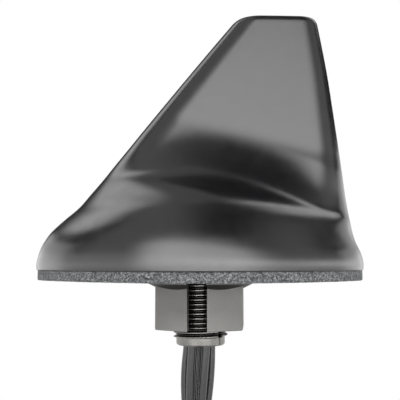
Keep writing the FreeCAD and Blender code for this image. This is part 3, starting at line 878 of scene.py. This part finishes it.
# Each row is a finish and the nodes that wear it. Grains below about 1 mm are drawn coarser than real.
inside = [
    # die-cast alloy, grey with a grainy skin
    (dress("die_cast_alloy", "8b8d8f", "b4b6b8", 0.9, 0.5, 0.9, 0.2), ["base_plate"]),
    # moulded rubber, matt black with a dusty bloom
    (
        dress("black_rubber", "101010", "1f1f20", 1.2, 0.75, 0.0, 0.15),
        ["seal_ring", "cable_grommet", "patch_tape"],
    ),
    # plain steel screws with a fine grain
    (dress("plain_steel", "8d8e90", "bcbdbf", 1.5, 0.35, 1.0, 0.1), ["housing_screws", "board_screws"]),
    # glass-fibre board under green solder mask, slightly uneven
    (
        dress("green_solder_mask", "0b4a2a", "14653b", 1.4, 0.4, 0.0, 0.12),
        ["main_board", "gnss_board", "fin_board"],
    ),
    # tinned sheet, dull and slightly mottled
    (
        dress("tinned_sheet", "a9aaab", "d0d1d2", 0.5, 0.38, 1.0, 0.05),
        ["shield_can_left", "shield_can_right"],
    ),
    # fired ceramic block, off-white and chalky
    (dress("fired_ceramic", "c9bfa9", "e0d8c6", 1.6, 0.7, 0.0, 0.1), ["gnss_patch"]),
    # bare copper sheet, browner in patches
    (
        dress("bare_copper", "9a5a34", "d58a5c", 0.26, 0.35, 1.0, 0.04),
        ["cellular_foil_left", "cellular_foil_right", "wifi_aerial_left", "wifi_aerial_right"],
    ),
    # turned fluoropolymer, waxy white
    (dress("white_fluoropolymer", "d9d9d5", "efefeb", 0.8, 0.5, 0.0, 0.05), numbered("jack_insulator_%d")),
    # gold-plated pins, as the jacks
    (gold, ["gnss_feed_pin"] + numbered("jack_contact_%d")),
    # leads with the same jacket as the tails
    (cable_jacket, ["inner_leads"]),
]
for material, names in inside:
    for name in names:
        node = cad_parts[name]
        node.data.materials.clear()
        node.data.materials.append(material)
print("dressed", sum(len(names) for material, names in inside), "hidden nodes")

# %% [markdown]
# ## The light
# A wide softbox in front shows in the flat of the fin, two panels behind, which meet overhead, show
# in the shoulders, and two small cards near the base light the low flanks. The ceiling stays dark, so
# the hollow flank goes black. The floor and the sky are white to the camera, and to the metal that
# mirrors what stands behind the part.

# %% Floor
FLOOR_Z = -0.1145
clear_selection()
bpy.ops.mesh.primitive_plane_add(size=8, location=(0, 0, FLOOR_Z))
floor = bpy.context.object
floor.name = "pale_floor"
white, tree, shader, place = finish_of("pale_floor_paper")
shader.inputs["Base Color"].default_value = colour("f2f2f2")
shader.inputs["Roughness"].default_value = 0.9
path = add(tree, "ShaderNodeLightPath").outputs
seen = add(
    tree, "ShaderNodeMath", {0: path["Is Camera Ray"], 1: path["Is Glossy Ray"]}, operation="MAXIMUM"
)
seen = add(
    tree, "ShaderNodeMath", {0: seen.outputs[0], 1: path["Is Transmission Ray"]}, operation="MAXIMUM"
)
# Near the part the paper keeps its shadow; further out it goes over to plain white.
span = add(tree, "ShaderNodeVectorMath", {0: place}, operation="LENGTH")
clear = add(
    tree,
    "ShaderNodeMapRange",
    {"Value": span.outputs["Value"]},
    From_Min=0.06,
    From_Max=0.36,
    To_Min=0.15,
)
share = add(tree, "ShaderNodeMath", {0: seen.outputs[0], 1: clear.outputs[0]}, operation="MULTIPLY")
glow = add(tree, "ShaderNodeEmission", Strength=1.0)
both = add(
    tree,
    "ShaderNodeMixShader",
    {0: share.outputs[0], 1: shader.outputs["BSDF"], 2: glow.outputs["Emission"]},
)
tree.links.new(both.outputs[0], tree.nodes["Material Output"].inputs["Surface"])
floor.data.materials.append(white)
print("floor at", FLOOR_Z)

# %% World
world = bpy.data.worlds.new("studio")
bpy.context.scene.world = world
world.use_nodes = True
tree = world.node_tree
tree.nodes.clear()
path = add(tree, "ShaderNodeLightPath").outputs
seen = add(
    tree, "ShaderNodeMath", {0: path["Is Camera Ray"], 1: path["Is Transmission Ray"]}, operation="MAXIMUM"
)
way = add(tree, "ShaderNodeTexCoord").outputs["Generated"]
aim = add(tree, "ShaderNodeSeparateXYZ", {"Vector": way}).outputs
across, deep, up = aim["X"], aim["Y"], aim["Z"]
aside = add(tree, "ShaderNodeMath", {0: across}, operation="ABSOLUTE").outputs[0]


def fade(value, start, end, first=0.0, last=1.0):
    """Soft step of the room's level, from first to last while the value goes from start to end."""
    step = add(
        tree,
        "ShaderNodeMapRange",
        {"Value": value},
        interpolation_type="SMOOTHSTEP",
        From_Min=start,
        From_Max=end,
        To_Min=first,
        To_Max=last,
    )
    return step.outputs[0]


def sum_of(value, share, rest):
    """The value times its share, plus the rest; a plain number is set on its socket."""
    made = add(tree, "ShaderNodeMath", operation="MULTIPLY_ADD")
    for socket, part in zip(made.inputs, (value, share, rest)):
        if isinstance(part, float):
            socket.default_value = part
        else:
            tree.links.new(part, socket)
    return made.outputs[0]


# Ceiling: grey to the left and far right, nearly black straight behind the part.
ceiling = sum_of(fade(across, 0.45, 0.9, 0.0, 0.5), 1.0, fade(across, -0.4, 0.3, 0.55, 0.06))
ceiling = sum_of(ceiling, fade(deep, 0.22, -0.04, 0.08, 1.0), 0.0)
# White wall round the floor, and the wide softbox in front of the part.
wall = sum_of(fade(deep, 0.6, -0.1, 1.0, 2.1), fade(across, -0.9, 0.9, 0.8, 1.35), 0.0)
shell = sum_of(fade(up, 0.24, 0.08), sum_of(ceiling, -1.0, wall), ceiling)
shell = sum_of(fade(deep, -0.45, -0.85, 0.0, 2.5), fade(up, 0.66, 0.44), shell)
# Two panels behind, to the left and right, that meet overhead.
behind = fade(sum_of(aside, -0.47, deep), -0.07, 0.06)
panel = sum_of(behind, fade(up, 0.4, 0.54), 0.0)
overhead = fade(up, 0.6, 0.95, 0.0, 0.35)
wings = sum_of(fade(sum_of(up, 0.5, aside), 0.7, 0.9, 0.0, 1.9), 1.0, overhead)
level = sum_of(panel, wings, shell)
# The white backdrop: all of it to the camera and through clear matter, and its low part to what mirrors it.
backdrop = sum_of(fade(up, 0.24, 0.08), fade(deep, 0.3, 0.6), 0.0)
shown = sum_of(path["Is Glossy Ray"], backdrop, 0.0)
seen = add(tree, "ShaderNodeMath", {0: seen.outputs[0], 1: shown}, operation="MAXIMUM")
room = add(tree, "ShaderNodeBackground", {"Strength": level}, Color=(1, 1, 1, 1))
sky = add(tree, "ShaderNodeBackground", Color=(1, 1, 1, 1), Strength=1.0)
both = add(tree, "ShaderNodeMixShader", {0: seen.outputs[0], 1: room.outputs[0], 2: sky.outputs[0]})
add(tree, "ShaderNodeOutputWorld", {"Surface": both.outputs[0]})
print("world nodes", len(tree.nodes))


# %% Lamps
def lamp(name, place, target, wide, high, power):
    """An area lamp at a place in metres, turned to its target, with its power in watts."""
    clear_selection()
    bpy.ops.object.light_add(type="AREA", location=place)
    made = bpy.context.object
    made.name = name
    made.data.shape = "RECTANGLE"
    made.data.size = wide
    made.data.size_y = high
    made.data.energy = power
    made.rotation_euler = (Vector(target) - Vector(place)).to_track_quat("-Z", "Y").to_euler()
    print(name, power, "W")


lamp("front_softbox", (-0.1, -1, 0.3), (0, 0, 0.05), 2.0, 0.6, 2)
lamp("left_card", (-0.21, 0.095, 0.03), (-0.05, -0.01, 0.03), 0.15, 0.12, 0.07)
lamp("right_card", (0.21, 0.095, 0.03), (0.05, -0.01, 0.03), 0.15, 0.12, 0.06)
